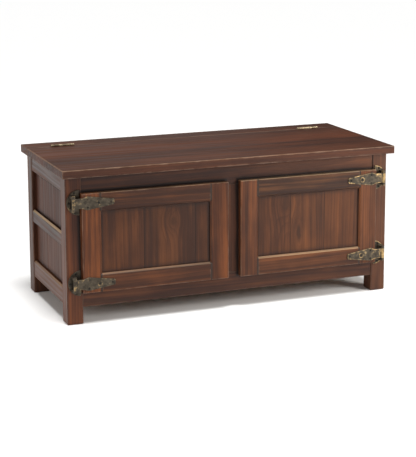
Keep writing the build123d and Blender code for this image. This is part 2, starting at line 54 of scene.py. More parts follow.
# Camera, lights and floor
cameraSetup = {
    "place": (-1.6858, -4.3131, 1.3140),
    "yaw": 21.40,
    "pitch": 10.977,
    "roll": -0.219,
    "lens": 115.3,
    "sensor": 36.0,
    "shiftUp": -0.140,
}
softboxes = {
    "keySoftbox": {"place": (1.85, -1.85, 1.05), "aim": (0.55, -0.2, 0.25), "size": (0.9, 0.9),
                   "power": 52, "colour": (1.0, 0.97, 0.93)},
    "fillSoftbox": {"place": (-1.5, -3.3, 1.7), "aim": (-0.1, 0, 0.2), "size": (2.6, 2.0),
                    "power": 15.5, "colour": (1.0, 0.98, 0.95)},
    "backSoftbox": {"place": (-0.6, 4.0, 1.2), "aim": (0, 0, 0.3), "size": (5.4, 2.2),
                    "power": 21, "colour": (1.0, 0.96, 0.93)},
    "sideSoftbox": {"place": (-2.7, -0.5, 1.2), "aim": (-0.5, 0, 0.15), "size": (1.6, 1.4),
                    "power": 17, "colour": (1.0, 0.93, 0.88)},
}
overhead = {"tiltFront": 12.0, "tiltRight": -1.0, "spread": 20.0, "strength": 3.4}
studio = {
    "skyStrength": 0.10,
    "backdrop": 1.0,
    "floorSize": 60.0,
    "floorTint": (0.88, 0.88, 0.875, 1),
    "floorRough": 0.9,
    "floorShine": 0.1,
}


def turned(yaw, pitch, roll):
    # camera axes from three plain angles in degrees
    yawAngle, pitchAngle, rollAngle = (math.radians(degrees) for degrees in (yaw, pitch, roll))
    level = math.cos(pitchAngle)
    ahead = Vector((math.sin(yawAngle) * level, math.cos(yawAngle) * level, -math.sin(pitchAngle)))
    right = Vector((math.cos(yawAngle), -math.sin(yawAngle), 0))
    up = right.cross(ahead)
    rolledRight = math.cos(rollAngle) * right + math.sin(rollAngle) * up
    rolledUp = math.cos(rollAngle) * up - math.sin(rollAngle) * right
    return Matrix((rolledRight, rolledUp, -ahead)).transposed()


cameraData = bpy.data.cameras.new("chestCamera")
cameraData.lens = cameraSetup["lens"]
cameraData.sensor_width = cameraSetup["sensor"]
cameraData.shift_y = cameraSetup["shiftUp"]
cameraData.clip_end = 200
chestCamera = bpy.data.objects.new("chestCamera", cameraData)
scene.collection.objects.link(chestCamera)
cameraTurn = turned(cameraSetup["yaw"], cameraSetup["pitch"], cameraSetup["roll"])
chestCamera.matrix_world = Matrix.Translation(cameraSetup["place"]) @ cameraTurn.to_4x4()
scene.camera = chestCamera

for lightName, softbox in softboxes.items():
    lightData = bpy.data.lights.new(lightName, "AREA")
    lightData.shape = "RECTANGLE"
    lightData.size, lightData.size_y = softbox["size"]
    lightData.energy = softbox["power"]
    lightData.color = softbox["colour"]
    light = bpy.data.objects.new(lightName, lightData)
    light.location = softbox["place"]
    aim = Vector(softbox["aim"]) - Vector(softbox["place"])
    light.rotation_euler = aim.to_track_quat("-Z", "Y").to_euler()
    scene.collection.objects.link(light)

sunData = bpy.data.lights.new("overheadLight", "SUN")
sunData.energy = overhead["strength"]
sunData.angle = math.radians(overhead["spread"])
overheadLight = bpy.data.objects.new("overheadLight", sunData)
overheadLight.rotation_euler = [math.radians(overhead[key]) for key in ("tiltFront", "tiltRight")] + [0]
overheadLight.location = (0, 0, 3)               # a sun's place only marks it
scene.collection.objects.link(overheadLight)
scene.view_settings.view_transform = "Standard"


# Small helpers for node trees
def put(tree, kind, inputs=None, **settings):
    node = tree.nodes.new(kind)
    for key, value in settings.items():
        setattr(node, key, value)
    for key, value in (inputs or {}).items():
        if isinstance(value, bpy.types.NodeSocket):
            tree.links.new(value, node.inputs[key])
        else:
            node.inputs[key].default_value = value
    return node


# A white backdrop that gives the room only a little light
scene.world = bpy.data.worlds.new("studioWorld")
scene.world.use_nodes = True
skyTree = scene.world.node_tree
seenDirectly = put(skyTree, "ShaderNodeLightPath").outputs["Is Camera Ray"]
skyLevel = put(skyTree, "ShaderNodeMapRange", {"Value": seenDirectly, "To Min": studio["skyStrength"],
                                               "To Max": studio["backdrop"]}).outputs["Result"]
skyTree.links.new(skyLevel, skyTree.nodes["Background"].inputs["Strength"])
skyTree.nodes["Background"].inputs["Color"].default_value = (1, 1, 1, 1)
print("studio lit:", len(softboxes) + 1, "lights")


def maths(tree, operation, a, b=0.0, clamp=False):
    return put(tree, "ShaderNodeMath", {0: a, 1: b}, operation=operation, use_clamp=clamp).outputs[0]


def times(tree, a, b):
    return maths(tree, "MULTIPLY", a, b)


def plus(tree, a, b):
    return maths(tree, "ADD", a, b)


def minus(tree, a, b, clamp=False):
    return maths(tree, "SUBTRACT", a, b, clamp)


def vectorMaths(tree, operation, a, b=(0, 0, 0)):
    node = put(tree, "ShaderNodeVectorMath", {0: a, 1: b}, operation=operation)
    return node.outputs["Value" if operation == "LENGTH" else "Vector"]


def split(tree, vector):
    return put(tree, "ShaderNodeSeparateXYZ", {0: vector}).outputs


def attribute(tree, name, output="Vector"):
    return put(tree, "ShaderNodeAttribute", attribute_name=name).outputs[output]


def noise(tree, place, scale, detail=2.0, roughness=0.55):
    # noise that is drawn out along X when the three scales differ
    drawn = vectorMaths(tree, "MULTIPLY", place, scale)
    return put(tree, "ShaderNodeTexNoise", {"Vector": drawn, "Scale": 1.0, "Detail": detail, "Roughness": roughness})


def noiseMask(tree, place, layer):
    # one layer of a pattern: its scale, detail and roughness, and the noise values at which it starts and is full
    scale, detail, roughness, low, high = layer
    return ramp(tree, noise(tree, place, scale, detail, roughness).outputs["Fac"], low, high)


def ramp(tree, value, low, high, start=0.0, end=1.0):
    # a smooth rise from start to end as value goes from low to high
    inputs = {"Value": value, "From Min": low, "From Max": high, "To Min": start, "To Max": end}
    return put(tree, "ShaderNodeMapRange", inputs, interpolation_type="SMOOTHSTEP").outputs["Result"]


def mix(tree, factor, a, b, blend="MIX"):
    return put(tree, "ShaderNodeMix", {0: factor, 6: a, 7: b}, data_type="RGBA", blend_type=blend).outputs[2]


def newMaterial(name):
    material = bpy.data.materials.new(name)
    material.use_nodes = True
    return material, material.node_tree, material.node_tree.nodes["Principled BSDF"]


def newGroup(name, inputs):
    # a shader node group with named inputs; a tuple makes a vector input
    tree = bpy.data.node_groups.new(name, "ShaderNodeTree")
    for label, value in inputs.items():
        kind = "NodeSocketVector" if isinstance(value, tuple) else "NodeSocketFloat"
        tree.interface.new_socket(label, in_out="INPUT", socket_type=kind).default_value = value
    return tree, tree.nodes.new("NodeGroupInput").outputs


def giveOut(tree, values):
    # the group's named outputs, all of them masks or heights
    for label in values:
        tree.interface.new_socket(label, in_out="OUTPUT", socket_type="NodeSocketFloat")
    result = tree.nodes.new("NodeGroupOutput").inputs
    for label, value in values.items():
        tree.links.new(value, result[label])


def useGroup(tree, name, inputs):
    return put(tree, "ShaderNodeGroup", inputs, node_tree=bpy.data.node_groups[name]).outputs


# Growth rings and fibres. A layer is (scale, detail, roughness, low, high).
grainShape = {
    "wander": (1.6, 7, 7),
    "ragged": (9, 160, 160),
    "raggedness": 0.55,
    "sharpness": 2.4,                            # how steeply each ring darkens
    "ringEnd": 0.86,                             # where in a ring the dark line stops
    "fadeScale": (1.5, 22, 22),
    "faintest": 0.35,
    "fibre": (14, 520, 520),
    "streak": ((1.5, 85, 85), 3, 0.6, 0.30, 0.70),
    "cloud": ((1.8, 10, 10), 3, 0.5, 0.32, 0.68),
    "blotch": ((7, 17, 17), 3, 0.55, 0.35, 0.70),
    "mineral": ((1.1, 46, 46), 2, 0.5, 0.60, 0.74),
    "fibreHeight": 0.6,
    "ringHeight": 0.4,
}


def buildWoodGrain():
    # growth rings round a far pith line, fibres, streaks and clouds, all along X of Place
    tree, given = newGroup("woodGrain", {"Place": (0, 0, 0), "Ring Width": 0.004, "Wander": 0.01, "Push": 0.0,
                                         "Bend": 0.0})
    bend = put(tree, "ShaderNodeCombineXYZ", {"Y": given["Bend"]}).outputs[0]
    place = vectorMaths(tree, "SUBTRACT", given["Place"], bend)
    drift = noise(tree, place, grainShape["wander"]).outputs["Color"]
    drift = vectorMaths(tree, "SUBTRACT", drift, (0.5, 0.5, 0.5))
    drift = put(tree, "ShaderNodeVectorMath", {0: drift, "Scale": given["Wander"]}, operation="SCALE").outputs["Vector"]
    warped = vectorMaths(tree, "ADD", place, drift)
    across = vectorMaths(tree, "MULTIPLY", warped, (0, 1, 1))
    reach = plus(tree, vectorMaths(tree, "LENGTH", across), given["Push"])
    turns = maths(tree, "DIVIDE", reach, given["Ring Width"])
    ragged = noise(tree, place, grainShape["ragged"]).outputs["Fac"]
    turns = plus(tree, turns, times(tree, ragged, grainShape["raggedness"]))
    share = maths(tree, "FRACT", turns)
    rise = maths(tree, "POWER", share, grainShape["sharpness"])
    fall = ramp(tree, share, grainShape["ringEnd"], 1.0, 1.0, 0.0)
    fade = noise(tree, place, grainShape["fadeScale"], 1).outputs["Fac"]
    strength = ramp(tree, fade, 0.3, 0.7, grainShape["faintest"], 1.0)
    rings = times(tree, times(tree, rise, fall), strength)
    fibre = noise(tree, place, grainShape["fibre"], 3, 0.6).outputs["Fac"]
    height = minus(tree, times(tree, fibre, grainShape["fibreHeight"]), times(tree, rings, grainShape["ringHeight"]))
    giveOut(tree, {
        "Rings": rings,
        "Fibre": fibre,
        "Streak": noiseMask(tree, warped, grainShape["streak"]),
        "Cloud": noiseMask(tree, place, grainShape["cloud"]),
        "Blotch": noiseMask(tree, place, grainShape["blotch"]),
        "Mineral": noiseMask(tree, warped, grainShape["mineral"]),
        "Height": height,
    })


knotShape = {
    "roughScale": (45, 45, 45),
    "roughBy": (0.008, 0.008, 0.008),
    "fade": -0.16,
    "push": 1.6,
    "bend": 0.82,
    "heartFull": 0.4,
    "heartEnd": 1.25,
}


def buildKnot():
    # one knot: how far it pushes the rings aside, and its dark heart
    tree, given = newGroup("knot", {"Place": (0, 0, 0), "Centre": (0, 0, 0), "Flatten": (1, 1, 1), "Size": 0.01})
    away = vectorMaths(tree, "SUBTRACT", given["Place"], given["Centre"])
    aside = split(tree, away)[0]
    shift = noise(tree, given["Place"], knotShape["roughScale"]).outputs["Color"]
    shift = vectorMaths(tree, "SUBTRACT", shift, (0.5, 0.5, 0.5))
    away = vectorMaths(tree, "ADD", vectorMaths(tree, "MULTIPLY", away, given["Flatten"]),
                       vectorMaths(tree, "MULTIPLY", shift, knotShape["roughBy"]))
    ratio = maths(tree, "DIVIDE", vectorMaths(tree, "LENGTH", away), given["Size"])
    squared = times(tree, ratio, ratio)
    fading = maths(tree, "POWER", math.e, times(tree, squared, knotShape["fade"]))
    push = times(tree, times(tree, fading, given["Size"]), knotShape["push"])
    bend = times(tree, times(tree, fading, aside), knotShape["bend"])
    heart = ramp(tree, ratio, knotShape["heartFull"], knotShape["heartEnd"], 1.0, 0.0)
    giveOut(tree, {"Push": push, "Bend": bend, "Heart": heart})


wearShape = {
    "patches": (26, 60, 60),
    "narrowest": 0.25,                           # shares of the wear's width
    "widest": 1.6,
    "dirtAndShadeWidth": 0.016,
    "openDirt": 0.25,                            # how dirty an edge is that sits in no groove
}


def buildEdgeWearAndShade():
    # wear and painted edge highlights along a board's edges, dark seams at its two ends, and dirt with painted shade
    # near its grooved edges, from its distances to its own faces
    tree, given = newGroup("edgeWearAndShade", {"From Low": (0, 0, 0), "To High": (0, 0, 0), "Place": (0, 0, 0),
                                        "Width": 0.002, "Seam": 0.001, "Tucked": 0.0, "Strip": (0, 0, 0)})
    nearest = split(tree, vectorMaths(tree, "MINIMUM", given["From Low"], given["To High"]))
    small = maths(tree, "MINIMUM", nearest[0], nearest[1])
    large = maths(tree, "MAXIMUM", nearest[0], nearest[1])
    toEdge = maths(tree, "MAXIMUM", small, maths(tree, "MINIMUM", large, nearest[2]))
    patchy = noise(tree, given["Place"], wearShape["patches"], 3, 0.6).outputs["Fac"]
    uneven = ramp(tree, patchy, 0.32, 0.68, wearShape["narrowest"], wearShape["widest"])
    width = times(tree, given["Width"], uneven)
    wear = minus(tree, 1.0, maths(tree, "DIVIDE", toEdge, width), clamp=True)
    ends = ramp(tree, nearest[0], 0.0, given["Seam"], 1.0, 0.0)
    strip = split(tree, given["Strip"])
    joint = ramp(tree, maths(tree, "MINIMUM", strip[0], strip[1]), 0.0, given["Seam"], 1.0, 0.0)
    seamsAndShade = times(tree, maths(tree, "MAXIMUM", ends, joint), strip[2])
    # dirt and painted shade near the edges, strongest along edges sunk in a panel's groove
    bare = minus(tree, small, given["Tucked"])
    dirtAndShade = ramp(tree, bare, 0.0, wearShape["dirtAndShadeWidth"], 1.0, 0.0)
    grimeAndShade = times(tree, dirtAndShade, ramp(tree, given["Tucked"], 0.0, 0.005, wearShape["openDirt"], 1.0))
    giveOut(tree, {"Wear": times(tree, wear, wear), "Seams": seamsAndShade, "Grime": grimeAndShade})


# Painted shade round the doors: how wide it is and on which sides it is widest
doorShadeShape = {
    "rightShare": 1.8,                           # how much faster it ends on the right and below
    "belowShare": 2.0,
    "uneven": (9, 9, 9),
    "narrowest": 0.009,
    "widest": 0.015,
    "fullTo": 0.25,
    "underDoor": -0.6,
}


def buildDoorShade():
    # painted shade that the doors cast on the frame just outside a door's outline, most of it above and on one side
    tree, given = newGroup("doorGrime", {"Place": (0, 0, 0), "Middle": (0, 0, 0), "Half": (0.1, 0.1, 0.1),
                                         "Front": -0.2})
    offset = split(tree, vectorMaths(tree, "SUBTRACT", given["Place"], given["Middle"]))
    half = split(tree, given["Half"])

    def beyond(axis, highShare, lowShare):
        high = minus(tree, offset[axis], half[axis])
        low = minus(tree, times(tree, offset[axis], -1.0), half[axis])
        return maths(tree, "MAXIMUM", times(tree, high, highShare), times(tree, low, lowShare))

    reach = maths(tree, "MAXIMUM", beyond(0, doorShadeShape["rightShare"], 1.0), beyond(2, 1.0, doorShadeShape["belowShare"]))
    uneven = noise(tree, given["Place"], doorShadeShape["uneven"]).outputs["Fac"]
    width = ramp(tree, uneven, 0.3, 0.7, doorShadeShape["narrowest"], doorShadeShape["widest"])
    ratio = maths(tree, "DIVIDE", reach, width)
    outside = times(tree, ramp(tree, ratio, doorShadeShape["fullTo"], 1.0, 1.0, 0.0),
                    ramp(tree, ratio, doorShadeShape["underDoor"], 0.0))
    onFront = maths(tree, "LESS_THAN", split(tree, given["Place"])[1], given["Front"])
    giveOut(tree, {"Grime": times(tree, outside, onFront)})


patinaShape = {
    "blotch": (70, 70, 70),
    "fine": (420, 420, 420),
    "cast": (190, 190, 190),
    "rubbedShare": 0.34,
    "fineShare": 0.22,
    "brightFrom": 0.12,
    "brightFull": 0.42,
    "castHeight": 0.7,
    "fineHeight": 0.3,
}


def buildPatina():
    # where aged metal is rubbed bright, with painted light and shade by side brought in on the same input, how its
    # tarnish varies, and its cast surface
    tree, given = newGroup("patina", {"Place": (0, 0, 0), "Rubbed And Lit": 0.0, "Cover": 0.5})
    blotch = noise(tree, given["Place"], patinaShape["blotch"], 4, 0.6).outputs["Fac"]
    fine = noise(tree, given["Place"], patinaShape["fine"], 3, 0.6).outputs["Fac"]
    cast = noise(tree, given["Place"], patinaShape["cast"], 2, 0.5).outputs["Fac"]
    amount = plus(tree, times(tree, given["Rubbed And Lit"], patinaShape["rubbedShare"]),
                  times(tree, fine, patinaShape["fineShare"]))
    amount = plus(tree, amount, minus(tree, blotch, given["Cover"]))
    bright = ramp(tree, amount, patinaShape["brightFrom"], patinaShape["brightFull"])
    height = plus(tree, times(tree, cast, patinaShape["castHeight"]), times(tree, fine, patinaShape["fineHeight"]))
    giveOut(tree, {"Bright": bright, "Tarnish": ramp(tree, blotch, 0.3, 0.7), "Height": height})


for buildShared in (buildWoodGrain, buildKnot, buildEdgeWearAndShade, buildDoorShade, buildPatina):
    buildShared()
print("shared effects built")


# Wood finishes. Colours are linear.
woods = {
    "frameWood": {"slot": "frame_wood", "dark": (0.0235, 0.0082, 0.0050, 1), "light": (0.1080, 0.0395, 0.0160, 1),
                  "ringWidth": 0.0070, "ringDepth": 0.85, "cloud": 0.28, "streak": 0.38, "mineral": 0.45,
                  "rough": 0.46, "shine": 0.22, "coat": 0.03, "wear": 0.32, "wearWidth": 0.0034},
    "doorWood": {"slot": "door_wood", "dark": (0.0270, 0.0100, 0.0052, 1), "light": (0.1520, 0.0560, 0.0180, 1),
                 "ringWidth": 0.0078, "ringDepth": 0.90, "cloud": 0.28, "streak": 0.36, "mineral": 0.38,
                 "rough": 0.45, "shine": 0.22, "coat": 0.03, "wear": 0.50, "wearWidth": 0.0034},
    "doorPanelWood": {"slot": "panel_wood", "dark": (0.0265, 0.0102, 0.0052, 1), "light": (0.1240, 0.0500, 0.0180, 1),
                      "ringWidth": 0.0082, "ringDepth": 1.0, "cloud": 0.14, "streak": 0.30, "mineral": 0.18,
                      "rough": 0.46, "shine": 0.22, "coat": 0.03, "wear": 0.30, "wearWidth": 0.0034},
    "panelWood": {"slot": "panel_wood", "dark": (0.0330, 0.0120, 0.0076, 1), "light": (0.0960, 0.0370, 0.0185, 1),
                  "ringWidth": 0.0056, "ringDepth": 0.55, "cloud": 0.20, "streak": 0.24, "mineral": 0.12,
                  "rough": 0.52, "shine": 0.16, "coat": 0.02, "wear": 0.30, "wearWidth": 0.0034},
    "lidWood": {"slot": "lid_wood", "dark": (0.0310, 0.0118, 0.0072, 1), "light": (0.0980, 0.0350, 0.0170, 1),
                "ringWidth": 0.0074, "ringDepth": 0.75, "cloud": 0.22, "streak": 0.34, "mineral": 0.20,
                "rough": 0.55, "shine": 0.18, "coat": 0.02, "wear": 0.62, "wearWidth": 0.0048},
    "innerWood": {"slot": "inner_wood", "dark": (0.0900, 0.0520, 0.0300, 1), "light": (0.2300, 0.1400, 0.0800, 1),
                  "ringWidth": 0.0070, "ringDepth": 0.50, "cloud": 0.30, "streak": 0.36, "mineral": 0.40,
                  "rough": 0.62, "shine": 0.20, "coat": 0.0, "wear": 0.30, "wearWidth": 0.0034},
}
wornWoodAndHighlight = (0.27, 0.175, 0.125, 1)
paintedLedgeHighlight = (0.62, 0.44, 0.25, 1)
seamStainAndShade = (0.006, 0.0035, 0.003, 1)
woodMixing = {
    "toneShare": 0.38,
    "fibreShare": 0.22,
    "blotchShare": 0.16,
    "darkAt": 0.08,
    "lightAt": 0.95,
    "ringKeeps": 0.22,                           # how much of the colour a ring line keeps
    "warmTint": (1.22, 0.95, 0.72, 1),
    "coolTint": (0.92, 1.0, 1.10, 1),
    "heartKeeps": 0.25,
    "grimeAndShadeShare": 0.75,
    "grimeAndShadeDepth": 0.7,
    "ledgeHighlightLeast": 0.55,
    "doorShadeShare": 0.88,
    "seamShare": 0.85,
    "seamWidth": 0.0020,
    "wander": 0.012,
    "roughVaries": 0.22,
    "wornRougher": 0.16,
    "bumpStrength": 0.35,
    "bumpDepth": 0.0004,
    "coatRough": 0.28,
}
doorShadeFront = 0.006                               # metres behind a door's back face that the painted shade reaches
doorOutlines = []
for sideName in sides:
    outerLow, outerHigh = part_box(f"{sideName}_door_outer_stile")
    innerLow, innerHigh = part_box(f"{sideName}_door_inner_stile")
    doorLow = Vector([min(pair) for pair in zip(outerLow, innerLow)])
    doorHigh = Vector([max(pair) for pair in zip(outerHigh, innerHigh)])
    doorOutlines.append({"Middle": (doorLow + doorHigh) / 2, "Half": (doorHigh - doorLow) / 2,
                         "Front": doorHigh.y + doorShadeFront})


def woodMaterial(name, spec, knots=()):
    material, tree, shader = newMaterial(name)
    place = attribute(tree, "grain")
    where = put(tree, "ShaderNodeTexCoord").outputs["Object"]
    push, bend, heart = 0.0, 0.0, 0.0
    for knot in knots:
        one = useGroup(tree, "knot", {"Place": where, "Centre": knot["centre"], "Flatten": knot["flatten"],
                                      "Size": knot["size"]})
        push = plus(tree, one["Push"], push)
        bend = plus(tree, one["Bend"], bend)
        heart = maths(tree, "MAXIMUM", times(tree, one["Heart"], knot["darkness"]), heart)
    grain = useGroup(tree, "woodGrain", {"Place": place, "Ring Width": spec["ringWidth"],
                                         "Wander": woodMixing["wander"], "Push": push, "Bend": bend})
    edges = useGroup(tree, "edgeWearAndShade", {"From Low": attribute(tree, "fromLow"), "To High": attribute(tree, "toHigh"),
                                        "Strip": attribute(tree, "strip"), "Tucked": attribute(tree, "tucked", "Fac"),
                                        "Place": place, "Width": spec["wearWidth"],
                                        "Seam": woodMixing["seamWidth"]})

    # the stain, from dark to light, with the painted shade gradients of the front posts and rails in its tone
    depth = times(tree, attribute(tree, "tone", "Fac"), woodMixing["toneShare"])
    for label, share in (("Cloud", spec["cloud"]), ("Streak", spec["streak"]), ("Fibre", woodMixing["fibreShare"]),
                         ("Blotch", woodMixing["blotchShare"])):
        depth = plus(tree, depth, times(tree, grain[label], share))
    depth = ramp(tree, depth, woodMixing["darkAt"], woodMixing["lightAt"])
    colour = mix(tree, depth, spec["dark"], spec["light"])
    ringShade = maths(tree, "MAXIMUM", times(tree, grain["Rings"], spec["ringDepth"]),
                      times(tree, grain["Mineral"], spec["mineral"]))
    colour = mix(tree, ringShade, colour, mix(tree, woodMixing["ringKeeps"], spec["dark"], colour))
    warm = mix(tree, 1.0, colour, woodMixing["warmTint"], "MULTIPLY")
    cool = mix(tree, 1.0, colour, woodMixing["coolTint"], "MULTIPLY")
    colour = mix(tree, ramp(tree, attribute(tree, "warmth", "Fac"), -1.0, 1.0), cool, warm)
    if knots:
        darkHeart = mix(tree, woodMixing["heartKeeps"], spec["dark"], colour, "MULTIPLY")
        colour = mix(tree, heart, colour, darkHeart)

    # dirt and painted shade, wear and painted edge highlights, painted ledge highlights, painted shade round the doors,
    # and seams with painted shadow on some stile edges
    # dirt with painted shade in the grooves
    darkened = mix(tree, woodMixing["grimeAndShadeDepth"], colour, seamStainAndShade)
    colour = mix(tree, times(tree, edges["Grime"], woodMixing["grimeAndShadeShare"]), colour, darkened)
    # pale worn edges, which also serve as painted highlights on the rounded edges
    colour = mix(tree, times(tree, edges["Wear"], spec["wear"]), colour, wornWoodAndHighlight)
    # painted highlight on upward ledges, broken up by the grain's streaks
    rubbedAndLit = ramp(tree, grain["Streak"], 0.0, 0.8, woodMixing["ledgeHighlightLeast"], 1.0)
    colour = mix(tree, times(tree, attribute(tree, "ledge", "Fac"), rubbedAndLit), colour, paintedLedgeHighlight)
    # painted shade on the frame's front round each door
    if name == "frameWood":
        for door in doorOutlines:
            paintedDoorShade = useGroup(tree, "doorGrime", dict(door, Place=where))["Grime"]
            colour = mix(tree, times(tree, paintedDoorShade, woodMixing["doorShadeShare"]), colour, seamStainAndShade)
    # dark seams, and painted shadow on the marked stile edges
    colour = mix(tree, times(tree, edges["Seams"], woodMixing["seamShare"]), colour, seamStainAndShade)
    tree.links.new(colour, shader.inputs["Base Color"])

    uneven = minus(tree, grain["Streak"], 0.5)
    rough = plus(tree, spec["rough"], times(tree, uneven, woodMixing["roughVaries"]))
    rough = plus(tree, rough, times(tree, edges["Wear"], woodMixing["wornRougher"]))
    tree.links.new(rough, shader.inputs["Roughness"])
    bump = put(tree, "ShaderNodeBump", {"Height": grain["Height"], "Strength": woodMixing["bumpStrength"],
                                        "Distance": woodMixing["bumpDepth"]})
    tree.links.new(bump.outputs["Normal"], shader.inputs["Normal"])
    shader.inputs["Specular IOR Level"].default_value = spec["shine"]
    shader.inputs["Coat Weight"].default_value = spec["coat"]
    shader.inputs["Coat Roughness"].default_value = woodMixing["coatRough"]
    return material


metals = {
    "agedBrass": {"cover": 0.62, "dark": (0.036, 0.029, 0.021, 1), "mid": (0.092, 0.074, 0.052, 1),
                  "bright": (0.46, 0.31, 0.135, 1), "rough": 0.46, "brightRough": 0.30, "metal": 0.75, "bump": 0.0005},
    "hingeBrass": {"cover": 0.45, "dark": (0.085, 0.064, 0.040, 1), "mid": (0.20, 0.155, 0.098, 1),
                   "bright": (0.40, 0.32, 0.21, 1), "rough": 0.46, "brightRough": 0.40, "metal": 1.0, "bump": 0.00012},
    "screwMetal": {"cover": 0.64, "dark": (0.010, 0.009, 0.008, 1), "mid": (0.030, 0.025, 0.019, 1),
                   "bright": (0.42, 0.30, 0.15, 1), "rough": 0.50, "brightRough": 0.30, "metal": 0.70, "bump": 0.0002},
    "strikeSteel": {"cover": 0.30, "dark": (0.22, 0.22, 0.22, 1), "mid": (0.42, 0.42, 0.42, 1),
                    "bright": (0.62, 0.62, 0.61, 1), "rough": 0.38, "brightRough": 0.26, "metal": 1.0, "bump": 0.0001},
    "catchPlastic": {"cover": 0.62, "dark": (0.030, 0.018, 0.012, 1), "mid": (0.045, 0.028, 0.019, 1),
                     "bright": (0.08, 0.055, 0.040, 1), "rough": 0.48, "brightRough": 0.40, "metal": 0.0,
                     "bump": 0.0001},
}
tarnishRoughens, castStrength = 0.1, 0.6


def metalMaterial(name, spec):
    material, tree, shader = newMaterial(name)
    where = put(tree, "ShaderNodeTexCoord").outputs["Object"]
    skin = useGroup(tree, "patina", {"Place": where, "Rubbed And Lit": attribute(tree, "rubbedAndLit", "Fac"),
                                     "Cover": spec["cover"]})
    colour = mix(tree, skin["Tarnish"], spec["dark"], spec["mid"])
    colour = mix(tree, skin["Bright"], colour, spec["bright"])
    tree.links.new(colour, shader.inputs["Base Color"])
    rough = ramp(tree, skin["Bright"], 0.0, 1.0, spec["rough"], spec["brightRough"])
    rough = plus(tree, rough, times(tree, skin["Tarnish"], tarnishRoughens))
    tree.links.new(rough, shader.inputs["Roughness"])
    bump = put(tree, "ShaderNodeBump", {"Height": skin["Height"], "Strength": castStrength,
                                        "Distance": spec["bump"]})
    tree.links.new(bump.outputs["Normal"], shader.inputs["Normal"])
    shader.inputs["Metallic"].default_value = spec["metal"]
    return material


panelKnots = {
    "leftPanelWood": [
        {"centre": (-0.199, -0.228, 0.296), "flatten": (1.0, 0.2, 0.8), "size": 0.012, "darkness": 0.35},
    ],
    "rightPanelWood": [
        {"centre": (0.176, -0.228, 0.322), "flatten": (1.0, 0.2, 0.62), "size": 0.017, "darkness": 0.35},
        {"centre": (0.222, -0.228, 0.221), "flatten": (1.4, 0.2, 0.42), "size": 0.013, "darkness": 0.7},
    ],
}
finishes = {name: woodMaterial(name, spec) for name, spec in woods.items()}
for name, knots in panelKnots.items():
    finishes[name] = woodMaterial(name, woods["doorPanelWood"], knots)
finishes.update({name: metalMaterial(name, spec) for name, spec in metals.items()})
print("materials built:", len(finishes))


# Pieces
mergeWithin, flatWithin = 1e-6, 0.5              # metres, degrees


def mergedCopy(node):
    # an editable copy of a CAD node's mesh, with its loose triangles joined into whole faces
    work = bmesh.new()
    work.from_mesh(frame["nodes"][node].data)
    bmesh.ops.remove_doubles(work, verts=work.verts, dist=mergeWithin)
    bmesh.ops.dissolve_limit(work, angle_limit=math.radians(flatWithin), verts=work.verts, edges=work.edges)
    return work


def newObject(name, mesh):
    made = bpy.data.objects.new(name, mesh)
    scene.collection.objects.link(made)
    return made


def plainMesh(piece):
    # works an object's modifiers into a plain mesh, which takes the place of the old one
    old = piece.data
    finished = bpy.data.meshes.new_from_object(piece.evaluated_get(bpy.context.evaluated_depsgraph_get()))
    piece.modifiers.clear()
    piece.data = finished
    bpy.data.meshes.remove(old)
    finished.name = piece.name
    return finished


def asPiece(work, name, body, material, replaced, sharpAngle=38):
    # turns a bmesh into a finished object that rides on its body
    mesh = bpy.data.meshes.new(name)
    for face in work.faces:
        face.smooth = True
    work.to_mesh(mesh)
    work.free()
    mesh.set_sharp_from_angle(angle=math.radians(sharpAngle))
    mesh.materials.append(material)
    piece = newObject(name, mesh)
    weighting = piece.modifiers.new("weighting", "WEIGHTED_NORMAL")
    weighting.keep_sharp = True
    plainMesh(piece)
    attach(piece, body)
    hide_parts(*replaced)
    return piece


